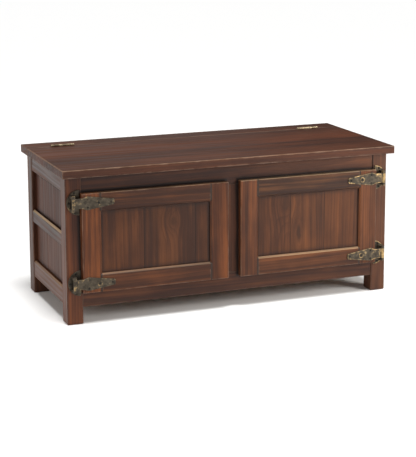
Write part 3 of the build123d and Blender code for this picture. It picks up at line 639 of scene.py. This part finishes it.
# Boards: which way each runs, how much of each end is a tenon, its finish, tone and warmth, and how its growth rings
# lie. A pair of tones runs from one end to the other as painted shade. Widths split a glued-up panel into its boards.
tenon, doorTenon = 0.024, 0.030
flat, rift, quarter = (0.00, 0.055), (0.06, 0.05), (0.13, 0.02)
boards = {
    # the pairs on the front posts and rails are painted shade: darker under the lid at the top left, lighter towards
    # the right
    "post_front_left": ("Z", 0, "frameWood", (0.8, -0.45), 0.75, rift),
    "post_front_right": ("Z", 0, "frameWood", (0.1, 0.5), -0.2, rift),
    "post_rear_left": ("Z", 0, "frameWood", 0.10, 0.0, quarter),
    "post_rear_right": ("Z", 0, "frameWood", 0.0, 0.0, rift),
    "front_bottom_rail": ("X", tenon, "frameWood", (-0.15, -0.25), 0.0, flat),
    "front_top_rail": ("X", tenon, "frameWood", (-1.0, 0.35), 0.0, flat),
    "front_centre_stile": ("Z", tenon, "frameWood", -0.15, 0.10, rift),
    "rear_bottom_rail": ("X", tenon, "frameWood", 0.0, 0.0, flat),
    "rear_top_rail": ("X", tenon, "frameWood", 0.0, 0.0, rift),
    "left_bottom_rail": ("Y", tenon, "frameWood", 0.5, 0.2, rift),
    "left_middle_rail": ("Y", tenon, "frameWood", -0.2, 0.3, quarter),
    "left_top_rail": ("Y", tenon, "frameWood", 0.0, 0.3, flat),
    "right_bottom_rail": ("Y", tenon, "frameWood", 0.0, 0.0, flat),
    "right_middle_rail": ("Y", tenon, "frameWood", 0.0, 0.0, rift),
    "right_top_rail": ("Y", tenon, "frameWood", 0.0, 0.0, quarter),
    "left_door_outer_stile": ("Z", 0, "doorWood", 0.28, 0.95, rift),
    "left_door_inner_stile": ("Z", 0, "doorWood", -0.28, 0.8, rift),
    "left_door_top_rail": ("X", doorTenon, "doorWood", -0.6, 0.2, flat),
    "left_door_bottom_rail": ("X", doorTenon, "doorWood", -0.3, 0.4, flat),
    "right_door_outer_stile": ("Z", 0, "doorWood", 0.06, 0.3, quarter),
    "right_door_inner_stile": ("Z", 0, "doorWood", 0.05, 0.5, rift),
    "right_door_top_rail": ("X", doorTenon, "doorWood", -0.75, -0.5, flat),
    "right_door_bottom_rail": ("X", doorTenon, "doorWood", 0.1, 0.2, flat),
    "left_door_panel": ("Z", 0, "leftPanelWood", -0.12, 0.55, rift),
    "right_door_panel": ("Z", 0, "rightPanelWood", 0.32, 0.5, rift),
    "left_upper_panel": ("Z", 0, "panelWood", -0.05, 0.5, rift),
    "left_lower_panel": ("Z", 0, "panelWood", 0.35, 0.3, rift),
    "right_upper_panel": ("Z", 0, "panelWood", 0.0, 0.0, rift),
    "right_lower_panel": ("Z", 0, "panelWood", 0.0, 0.0, rift),
    "rear_panel": ("Z", 0, "panelWood", 0.0, 0.0, rift),
    "lid_panel": ("X", 0, "lidWood", 0.12, 0.1, flat),
    "lid_rear_strip": ("X", 0, "lidWood", 0.0, -0.1, rift),
    "lid_batten_left": ("Y", 0, "innerWood", 0.0, 0.0, flat),
    "lid_batten_right": ("Y", 0, "innerWood", 0.0, 0.0, rift),
    "floor_panel": ("X", 0, "innerWood", 0.0, 0.0, flat),
}
# where the boards of a glued-up panel meet, across its grain
boardJoints = {
    "left_door_panel": (-0.2935, -0.1275),
    "right_door_panel": (0.1925, 0.3105),
    "left_upper_panel": (-0.062, 0.078),
    "left_lower_panel": (-0.082, 0.041),
    "right_upper_panel": (-0.050, 0.092),
    "right_lower_panel": (-0.071, 0.066),
    "rear_panel": (-0.34, -0.205, -0.06, 0.07, 0.215, 0.35),
    "lid_panel": (-0.150, -0.045, 0.062),
    "floor_panel": (-0.09, 0.01, 0.10),
}
# upward edges and tops painted pale as painted highlights where light falls on them: how pale, and the steepest slope
# that counts
bevelOnly, wholeTop = 0.97, 1.01
ledgeHighlights = {
    "left_middle_rail": (0.62, bevelOnly),
    "left_bottom_rail": (0.26, bevelOnly),
    "right_middle_rail": (0.25, bevelOnly),
    "right_bottom_rail": (0.20, bevelOnly),
    "left_door_top_rail": (0.10, wholeTop),
    "right_door_top_rail": (0.26, wholeTop),
    "left_door_outer_stile": (0.07, wholeTop),
    "left_door_inner_stile": (0.07, wholeTop),
    "right_door_outer_stile": (0.24, wholeTop),
    "right_door_inner_stile": (0.24, wholeTop),
    "left_door_bottom_rail": (0.14, bevelOnly),
    "right_door_bottom_rail": (0.30, bevelOnly),
    "lid_panel": (0.09, bevelOnly),
}
ledgeSlope = 0.30
grooveDepth = 0.007
# stile edges beside a panel that get a painted shadow, as if light fell from the right: which way each faces along X
shadowedStileEdges = {"left_door_inner_stile": -1, "right_door_outer_stile": -1}
edgeFacing = 0.9
# how much the boards differ: colour, degrees off straight, and metres between their growth rings
boardSpread = {"tone": 0.22, "warmth": 0.25, "tilt": 1.1, "along": 6, "across": 0.02, "deeper": 0.03}
sideSeam = 0.45                                  # how dark a joint shows in the side and rear panels
vectorNames = ("grain", "fromLow", "toHigh", "strip")
numberNames = ("tone", "warmth", "tucked", "ledge")


def pieceName(node):
    words = node.split("_")
    return words[0] + "".join(word.capitalize() for word in words[1:])


def bodyOf(node):
    return next(body for body, nodes in frame["record"]["behaviour"]["bodies"].items() if node in nodes)


def makeBoard(node, run, tenonLength, finish, tone, warmth, rings):
    low, high = (list(corner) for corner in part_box(node))
    along = "XYZ".index(run)
    others = sorted((i for i in range(3) if i != along), key=lambda i: low[i] - high[i])
    order = (along, *others)                     # along, across, through the thickness
    low[along] += tenonLength
    high[along] -= tenonLength
    joints = boardJoints.get(node, ())
    work = mergedCopy(node)
    for joint in joints:
        cutPoint, cutNormal = [0, 0, 0], [0, 0, 0]
        cutPoint[others[0]], cutNormal[others[0]] = joint, 1
        bmesh.ops.bisect_plane(work, geom=work.verts[:] + work.edges[:] + work.faces[:],
                               plane_co=cutPoint, plane_no=cutNormal, dist=mergeWithin)
    piece = asPiece(work, pieceName(node), bodyOf(node), finishes[finish], [node])
    chance = random.Random(node)
    strips = []
    limits = [low[others[0]], *joints, high[others[0]]]
    for start, end in zip(limits, limits[1:]):
        acrossShift = rings[0] * chance.choice((-1, 1)) + chance.uniform(-boardSpread["across"], boardSpread["across"])
        depthShift = (rings[1] + chance.uniform(0, boardSpread["deeper"])) * chance.choice((-1, 1))
        slope = [math.radians(chance.uniform(-boardSpread["tilt"], boardSpread["tilt"])) for _ in range(2)]
        alongShift = chance.uniform(-boardSpread["along"], boardSpread["along"])
        strips.append({
            "shift": Vector((alongShift, acrossShift, depthShift)),
            "slope": slope,
            "tone": chance.uniform(-1, 1) * boardSpread["tone"] * bool(joints),
            "warmth": warmth + chance.uniform(-1, 1) * boardSpread["warmth"] * bool(joints),
            "middle": (start + end) / 2,
            # the outermost edges of a panel are no joint
            "ends": (start - (start == limits[0]), end + (end == limits[-1])),
        })
    isPanel = node.endswith("_panel") and node not in ("lid_panel", "floor_panel")
    seamDepth = 1.0 if tenonLength or "door_panel" in node else sideSeam * isPanel
    paleness, steepest = ledgeHighlights.get(node, (0.0, 0.0))
    # a pair of tones is a painted shade gradient along the board
    startToneAndShade, endToneAndShade = tone if isinstance(tone, tuple) else (tone, tone)
    lowLocal = Vector([low[i] for i in order])
    highLocal = Vector([high[i] for i in order])
    centre = (lowLocal + highLocal) / 2
    mesh = piece.data
    values = {label: [] for label in vectorNames + numberNames}
    for face in mesh.polygons:                   # a face's corners follow each other, so values come in order
        strip = strips[sum(face.center[others[0]] > joint for joint in joints)]
        # painted shadow over the whole of such an edge, drawn like a full seam
        darkened = shadowedStileEdges.get(node, 0) * face.normal.x > edgeFacing
        for corner in face.loop_indices:
            point = mesh.vertices[mesh.loops[corner].vertex_index].co
            local = Vector([point[i] for i in order])
            grain = Vector((local.x - centre.x, local.y - strip["middle"], local.z - centre.z))
            grain.y += strip["slope"][0] * grain.x
            grain.z += strip["slope"][1] * grain.x
            share = (local.x - lowLocal.x) / (highLocal.x - lowLocal.x)
            values["grain"].extend(grain + strip["shift"])
            values["fromLow"].extend(local - lowLocal)
            values["toHigh"].extend(highLocal - local)
            values["strip"].extend((0, 0, 1) if darkened
                                   else (local.y - strip["ends"][0], strip["ends"][1] - local.y, seamDepth))
            values["tone"].append(strip["tone"] + startToneAndShade + (endToneAndShade - startToneAndShade) * share)
            values["warmth"].append(strip["warmth"])
            values["tucked"].append(grooveDepth * isPanel)
            values["ledge"].append(paleness * (ledgeSlope < face.normal.z < steepest))
    for label, data in values.items():
        kind, member = ("FLOAT_VECTOR", "vector") if label in vectorNames else ("FLOAT", "value")
        mesh.attributes.new(label, kind, "CORNER").data.foreach_set(member, data)


for node, settings in boards.items():
    makeBoard(node, *settings)
print("boards built:", len(boards))

# Relief for the strap hinges, in metres
sunk = 0.0004                                    # how deep raised parts reach into the metal
strapShape = {
    "barrelRadius": 0.0055,
    "thickness": 0.003,
    "outline": ((0.0085, 0.0155), (0.0270, 0.0155), (0.0420, 0.0210), (0.1265, 0.0085)),
    "cornerRadius": 0.0045,
    "rimInset": 0.0007,
    "rimWidth": 0.0019,
    "rimHeight": 0.0006,
    "beads": (-0.0120, -0.0030, 0.0030, 0.0120),
    "beadProfile": ((-0.0004, -0.0012), (0.0003, -0.0008), (0.0005, 0), (0.0003, 0.0008), (-0.0004, 0.0012)),
    "screws": ((0.0440, 0.0130, 0), (0.0440, -0.0130, 0), (0.0775, 0, 0.001), (0.1170, 0, 0)),
    "bossRadius": 0.0066,
    "rubbedOver": 0.0005,
}
plateShape = {
    "radius": 0.039,
    "thickness": 0.003,
    "rimInset": 0.0006,
    "rimWidth": 0.0017,
    "rimHeight": 0.0005,
    "screwReach": 0.033,
    "screwAngles": (-63, 0, 63),
    "rubbedOver": 0.0004,
    "lugsFrom": 0.001,
}
washerShape = {"inner": 0.0038, "outer": 0.0050, "height": 0.0004, "sunk": 0.0003}
pinShape = {"headRadius": 0.0036, "headHeight": 0.0020, "rubbedAndLit": 0.6, "nearAcross": 0.01, "nearAlong": 0.05}
# across and up a rim, as shares of its width and height
rimProfile = ((0.0, 0.55), (0.2, 0.92), (0.5, 1.0), (0.8, 0.92), (1.0, 0.55))
# how bright the metal is on each side's rims and, as a share of that, on its flat faces; besides rubbed wear this is
# painted light and shade, the left hinges darker and the right brighter
rubbingAndSideLight = {"left": {"rims": 0.5, "faces": 0.15, "lidHinge": 0.15},
           "right": {"rims": 1.0, "faces": 0.38, "lidHinge": 0.5}}
plateFaceRubbed = 0.5
faceSlack = 0.0001                               # a face this far proud still counts as flat


def roundedOutline(points, radius, steps=5):
    # a closed outline with each corner replaced by a short curve
    result = []
    for i, corner in enumerate(points):
        before, after = points[i - 1], points[(i + 1) % len(points)]
        start = corner.lerp(before, min(0.45, radius / (corner - before).length))
        end = corner.lerp(after, min(0.45, radius / (corner - after).length))
        for k in range(steps + 1):
            t = k / steps
            result.append((1 - t) ** 2 * start + 2 * t * (1 - t) * corner + t * t * end)
    return result


def raisedBand(work, outline, place, inset, width, height):
    # a rounded rim that follows a closed flat outline, a distance in from its edge
    area = sum(a.x * b.y - b.x * a.y for a, b in zip(outline, outline[1:] + outline[:1]))
    turn = 1 if area > 0 else -1
    profile = [(0.0, -sunk), *((across, rise * height) for across, rise in rimProfile), (1.0, -sunk)]
    rings = []
    for i, point in enumerate(outline):
        before, after = outline[i - 1], outline[(i + 1) % len(outline)]
        ahead = ((point - before).normalized() + (after - point).normalized()).normalized()
        inward = Vector((-ahead.y, ahead.x)) * turn
        ring = []
        for across, rise in profile:
            flatPoint = point + inward * (inset + across * width)
            ring.append(work.verts.new(place(flatPoint.x, flatPoint.y, rise)))
        rings.append(ring)
    closedSkin(work, rings)


def quadsBetween(work, ringA, ringB):
    count = len(ringA)
    return [work.faces.new((ringA[k], ringA[(k + 1) % count], ringB[(k + 1) % count], ringB[k])) for k in range(count)]


def closedSkin(work, rings):
    # quads between rings of points, and from the last ring back to the first
    made = []
    for ringA, ringB in zip(rings, rings[1:] + rings[:1]):
        made += quadsBetween(work, ringA, ringB)
    bmesh.ops.recalc_face_normals(work, faces=made)


def around(axis, count):
    # directions all round an axis
    sideways = axis.orthogonal().normalized()
    other = axis.cross(sideways)
    angles = [2 * math.pi * k / count for k in range(count)]
    return [sideways * math.cos(angle) + other * math.sin(angle) for angle in angles]


def turnedRing(work, centre, axis, profile, segments=32):
    # a closed ring turned about an axis: profile points are (radius, along the axis)
    closedSkin(work, [[work.verts.new(centre + out * radius + axis * along) for radius, along in profile]
                      for out in around(axis, segments)])


def domedHead(work, centre, axis, radius, height, segments=24, steps=5):
    # a low dome with its flat side at the centre point, sunk a little
    angles = [0.5 * math.pi * k / steps for k in range(steps)]
    levels = [(radius, -sunk)] + [(radius * math.cos(t), height * math.sin(t)) for t in angles]
    rings = [[work.verts.new(centre + axis * rise + out * reach) for out in around(axis, segments)]
             for reach, rise in levels]
    made = []
    for lower, upper in zip(rings, rings[1:]):
        made += quadsBetween(work, lower, upper)
    made.append(work.faces.new(list(reversed(rings[0]))))
    top = work.verts.new(centre + axis * height)
    for k in range(segments):
        made.append(work.faces.new((rings[-1][k], rings[-1][(k + 1) % segments], top)))
    bmesh.ops.recalc_face_normals(work, faces=made)


def markRubbedAndLit(piece, amount):
    # amount gives how bright the metal is at a point, from 0 to 1: rubbed wear, and on the hinges painted light and
    # shade by side
    mesh = piece.data
    rubbedAndLitPoints = mesh.attributes.new("rubbedAndLit", "FLOAT", "POINT")
    rubbedAndLitPoints.data.foreach_set("value", [amount(vertex.co) for vertex in mesh.vertices])


def shareRaised(point, front, height):
    # 0 on the flat front of a hinge, 1 on what stands proud of it
    return min(1.0, max(0.0, (front - point.y - faceSlack) / height))


hinges = []
for sideName, side in sides.items():
    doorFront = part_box(f"{sideName}_door_outer_stile")[0].y
    for level in ("upper", "lower"):
        strapLow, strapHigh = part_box(f"{sideName}_{level}_hinge_strap")
        plateLow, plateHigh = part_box(f"{sideName}_{level}_hinge_plate")
        outerX = strapLow.x if side < 0 else strapHigh.x
        hinges.append({
            "sideName": sideName, "side": side, "level": level,
            "height": (strapLow.z + strapHigh.z) / 2,
            "pin": outerX - side * strapShape["barrelRadius"],
            "pinY": (strapLow.y + strapHigh.y) / 2,
            "strapFront": doorFront - strapShape["thickness"],
            "plateEdge": plateHigh.x if side < 0 else plateLow.x,
            "plateFront": plateHigh.y - plateShape["thickness"],
        })

plateScrews, strapScrews = [], {"left": [], "right": []}
forward = Vector((0, -1, 0))
for hinge in hinges:
    side, height, sideName = hinge["side"], hinge["height"], hinge["sideName"]
    rubbedAndLit = rubbingAndSideLight[sideName]

    # the strap on the door
    def onStrap(reach, rise, out):
        return Vector((hinge["pin"] - side * reach, hinge["strapFront"] - out, height + rise))

    strapNode = f"{sideName}_{hinge['level']}_hinge_strap"
    work = mergedCopy(strapNode)
    upperEdge = [Vector(point) for point in strapShape["outline"]]
    outline = upperEdge + [Vector((point.x, -point.y)) for point in reversed(upperEdge)]
    raisedBand(work, roundedOutline(outline, strapShape["cornerRadius"]), onStrap,
               strapShape["rimInset"], strapShape["rimWidth"], strapShape["rimHeight"])
    screwSpots = [onStrap(reach, rise, raised) for reach, rise, raised in strapShape["screws"]]
    for spot, (_, _, raised) in zip(screwSpots, strapShape["screws"]):
        inner, tall, base = washerShape["inner"], washerShape["height"], -washerShape["sunk"]
        outer = strapShape["bossRadius"] if raised else washerShape["outer"]
        turnedRing(work, spot, forward, ((inner, base), (inner, 0.6 * tall), ((inner + outer) / 2, tall),
                                         (outer, 0.3 * tall), (outer, base)))
        strapScrews[sideName].append((spot, forward))
    radius = strapShape["barrelRadius"]
    for bead in strapShape["beads"]:
        turnedRing(work, Vector((hinge["pin"], hinge["pinY"], height + bead)), Vector((0, 0, 1)),
                   [(radius + out, along) for out, along in strapShape["beadProfile"]])
    piece = asPiece(work, pieceName(strapNode), f"{sideName}_door", finishes["agedBrass"], [strapNode])

    def rubbedAndLitOnStrap(point):
        raised = shareRaised(point, hinge["strapFront"], strapShape["rubbedOver"])
        atScrew = any(math.hypot(point.x - spot.x, point.z - spot.z) < strapShape["bossRadius"] for spot in screwSpots)
        return 0.0 if atScrew else rubbedAndLit["rims"] * (raised + (1 - raised) * rubbedAndLit["faces"])

    markRubbedAndLit(piece, rubbedAndLitOnStrap)

    # the plate on the post
    def onPlate(reach, rise, out):
        return Vector((hinge["plateEdge"] + side * reach, hinge["plateFront"] - out, height + rise))

    plateNode = f"{sideName}_{hinge['level']}_hinge_plate"
    work = mergedCopy(plateNode)
    radius = plateShape["radius"]
    angles = [math.radians(-90 + 6 * k) for k in range(31)]
    arc = [Vector((radius * math.cos(angle), radius * math.sin(angle))) for angle in angles]
    raisedBand(work, arc, onPlate, plateShape["rimInset"], plateShape["rimWidth"], plateShape["rimHeight"])
    for degrees in plateShape["screwAngles"]:
        angle = math.radians(degrees)
        spot = onPlate(plateShape["screwReach"] * math.cos(angle), plateShape["screwReach"] * math.sin(angle), 0)
        plateScrews.append((spot, forward))
    piece = asPiece(work, pieceName(plateNode), "carcass", finishes["agedBrass"], [plateNode])

    def rubbedAndLitOnPlate(point):
        raised = shareRaised(point, hinge["plateFront"], plateShape["rubbedOver"])
        onLugs = point.y < hinge["plateFront"] - plateShape["lugsFrom"]
        return rubbedAndLit["rims"] * raised * (plateFaceRubbed if onLugs else 1.0)

    markRubbedAndLit(piece, rubbedAndLitOnPlate)

work = mergedCopy("door_hinge_pins")
for hinge in hinges:
    fromHinge = [abs(vertex.co.z - hinge["height"]) for vertex in work.verts
                 if abs(vertex.co.x - hinge["pin"]) < pinShape["nearAcross"]]
    pinHalf = max(along for along in fromHinge if along < pinShape["nearAlong"])
    for way in (-1, 1):
        domedHead(work, Vector((hinge["pin"], hinge["pinY"], hinge["height"] + way * pinHalf)), Vector((0, 0, way)),
                  pinShape["headRadius"], pinShape["headHeight"])
piece = asPiece(work, "doorHingePins", "carcass", finishes["agedBrass"], ["door_hinge_pins"])
markRubbedAndLit(piece, lambda point: pinShape["rubbedAndLit"])
print("strap hinges built:", len(hinges))

# Lid hinges keep their CAD shape, with merged meshes
for sideName in sides:
    for leafName, body in (("fixed", "carcass"), ("moving", "lid")):
        node = f"lid_hinge_{sideName}_{leafName}_leaf"
        piece = asPiece(mergedCopy(node), pieceName(node), body, finishes["hingeBrass"], [node])
        # painted light and shade: the left lid hinge is kept darker than the right
        markRubbedAndLit(piece, lambda point: rubbingAndSideLight[sideName]["lidHinge"])
print("lid hinges built:", len(sides))


# Slotted screws, one tree for all of them. Sizes are in metres.
screwShape = {
    "Head Radius": 0.0034,
    "Head Depth": 0.002,
    "Dome": 0.001,
    "Shank Radius": 0.0019,
    "Length": 0.013,
    "Slot Width": 0.0009,
    "Slot Depth": 0.0009,
}
screwMake = {"headSides": 28, "domeRings": 14, "shankSides": 20, "domeShare": 0.985, "slotReach": 2.6,
             "tipShare": 0.35, "sharpAngle": 32}
strapScrewLength = 0.015
headRubbed, headReach = 0.25, 0.004


def buildScrewTree():
    tree = bpy.data.node_groups.new("slottedScrews", "GeometryNodeTree")
    tree.interface.new_socket("Places", in_out="INPUT", socket_type="NodeSocketGeometry")
    for label, value in screwShape.items():
        tree.interface.new_socket(label, in_out="INPUT", socket_type="NodeSocketFloat").default_value = value
    tree.interface.new_socket("Finish", in_out="INPUT", socket_type="NodeSocketMaterial")
    tree.interface.new_socket("Screws", in_out="OUTPUT", socket_type="NodeSocketGeometry")
    given, result = tree.nodes.new("NodeGroupInput").outputs, tree.nodes.new("NodeGroupOutput").inputs

    def along(z):
        return put(tree, "ShaderNodeCombineXYZ", {"Z": z}).outputs[0]

    def moved(geometry, place, scale=None):
        inputs = {"Geometry": geometry, "Translation": place}
        if scale is not None:
            inputs["Scale"] = scale
        return put(tree, "GeometryNodeTransform", inputs).outputs["Geometry"]

    cone = put(tree, "GeometryNodeMeshCone", {"Vertices": screwMake["headSides"], "Radius Top": given["Head Radius"],
                                              "Radius Bottom": given["Shank Radius"], "Depth": given["Head Depth"]})
    head = moved(cone.outputs["Mesh"], along(times(tree, given["Head Depth"], -1.0)))
    ball = put(tree, "GeometryNodeMeshUVSphere", {"Segments": screwMake["headSides"], "Rings": screwMake["domeRings"],
                                                 "Radius": 1.0})
    domeRadius = times(tree, given["Head Radius"], screwMake["domeShare"])
    ballSize = put(tree, "ShaderNodeCombineXYZ", {"X": domeRadius, "Y": domeRadius, "Z": given["Dome"]}).outputs[0]
    dome = moved(ball.outputs["Mesh"], (0, 0, 0), ballSize)
    solid = put(tree, "GeometryNodeMeshBoolean", {"Mesh 2": head}, operation="UNION")
    tree.links.new(dome, solid.inputs["Mesh 2"])
    slotSize = put(tree, "ShaderNodeCombineXYZ", {"X": times(tree, given["Head Radius"], screwMake["slotReach"]),
                                                  "Y": given["Slot Width"],
                                                  "Z": times(tree, given["Slot Depth"], 2.0)}).outputs[0]
    slotBlock = put(tree, "GeometryNodeMeshCube", {"Size": slotSize}).outputs["Mesh"]
    slotBlock = moved(slotBlock, along(given["Dome"]))
    cut = put(tree, "GeometryNodeMeshBoolean", {"Mesh 1": solid.outputs["Mesh"], "Mesh 2": slotBlock},
              operation="DIFFERENCE")
    tipRadius = times(tree, given["Shank Radius"], screwMake["tipShare"])
    shankLength = minus(tree, given["Length"], given["Head Depth"])
    shank = put(tree, "GeometryNodeMeshCone", {"Vertices": screwMake["shankSides"], "Radius Top": given["Shank Radius"],
                                               "Radius Bottom": tipRadius, "Depth": shankLength})
    body = moved(shank.outputs["Mesh"], along(times(tree, given["Length"], -1.0)))
    whole = put(tree, "GeometryNodeJoinGeometry", {"Geometry": cut.outputs["Mesh"]})
    tree.links.new(body, whole.inputs["Geometry"])
    facing = put(tree, "GeometryNodeInputNamedAttribute", {"Name": "facing"}, data_type="FLOAT_VECTOR")
    turn = put(tree, "GeometryNodeInputNamedAttribute", {"Name": "turn"}, data_type="FLOAT")
    aimed = put(tree, "FunctionNodeAlignRotationToVector", {"Vector": facing.outputs["Attribute"]}, axis="Z")
    spin = put(tree, "FunctionNodeAxisAngleToRotation", {"Axis": (0, 0, 1), "Angle": turn.outputs["Attribute"]})
    aimed = put(tree, "FunctionNodeRotateRotation", {"Rotation": aimed.outputs["Rotation"],
                                                     "Rotate By": spin.outputs["Rotation"]}, rotation_space="LOCAL")
    points = put(tree, "GeometryNodeMeshToPoints", {"Mesh": given["Places"]}).outputs["Points"]
    copies = put(tree, "GeometryNodeInstanceOnPoints", {"Points": points, "Instance": whole.outputs["Geometry"],
                                                        "Rotation": aimed.outputs["Rotation"]}).outputs["Instances"]
    real = put(tree, "GeometryNodeRealizeInstances", {"Geometry": copies}).outputs["Geometry"]
    painted = put(tree, "GeometryNodeSetMaterial", {"Geometry": real, "Material": given["Finish"]}).outputs["Geometry"]
    tree.links.new(painted, result["Screws"])
    return tree


screwTree = buildScrewTree()


def setScrews(node, body, spots, sizes):
    name = pieceName(node)
    chance = random.Random(node)
    mesh = bpy.data.meshes.new(name + "Places")
    mesh.from_pydata([spot for spot, _ in spots], [], [])
    facing = mesh.attributes.new("facing", "FLOAT_VECTOR", "POINT")
    facing.data.foreach_set("vector", [value for _, way in spots for value in way])
    turn = mesh.attributes.new("turn", "FLOAT", "POINT")
    turn.data.foreach_set("value", [chance.uniform(0, math.pi) for _ in spots])
    piece = newObject(name, mesh)
    modifier = piece.modifiers.new("screws", "NODES")
    modifier.node_group = screwTree
    for item in screwTree.interface.items_tree:
        if item.in_out == "INPUT" and item.name in sizes:
            modifier[item.identifier] = sizes[item.name]
    finished = plainMesh(piece)
    for face in finished.polygons:
        face.use_smooth = True
    finished.set_sharp_from_angle(angle=math.radians(screwMake["sharpAngle"]))
    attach(piece, body)
    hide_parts(node)
    tops = [spot for spot, _ in spots]
    markRubbedAndLit(piece, lambda point: headRubbed * (min((point - top).length for top in tops) < headReach))


plateScrewSizes = dict(screwShape, Finish=finishes["screwMetal"])
strapScrewSizes = dict(plateScrewSizes, Length=strapScrewLength)
setScrews("hinge_plate_screws", "carcass", plateScrews, plateScrewSizes)
for sideName in sides:
    setScrews(f"{sideName}_door_strap_screws", f"{sideName}_door", strapScrews[sideName], strapScrewSizes)
print("screws set:", len(plateScrews) + sum(len(spots) for spots in strapScrews.values()))

# Small hardware that keeps its CAD nodes
keptNodes = {
    "lid_hinge_pins": "hingeBrass",
    "lid_hinge_fixed_screws": "hingeBrass",
    "lid_hinge_moving_screws": "hingeBrass",
    "catch_screws": "screwMetal",
    "magnetic_catch_left": "catchPlastic",
    "magnetic_catch_right": "catchPlastic",
    "left_door_strike_plate": "strikeSteel",
    "right_door_strike_plate": "strikeSteel",
}
for node, finish in keptNodes.items():
    kept = frame["nodes"][node]
    kept.data.materials.clear()
    kept.data.materials.append(finishes[finish])
print("small hardware finished:", len(keptNodes))

# Floor
floorMesh = bpy.data.meshes.new("studioFloor")
half = studio["floorSize"] / 2
floorMesh.from_pydata([(-half, -half, 0), (half, -half, 0), (half, half, 0), (-half, half, 0)], [], [(0, 1, 2, 3)])
studioFloor = newObject("studioFloor", floorMesh)
floorPaint, _, floorShader = newMaterial("floorPaint")
floorShader.inputs["Base Color"].default_value = studio["floorTint"]
floorShader.inputs["Roughness"].default_value = studio["floorRough"]
floorShader.inputs["Specular IOR Level"].default_value = studio["floorShine"]
floorMesh.materials.append(floorPaint)
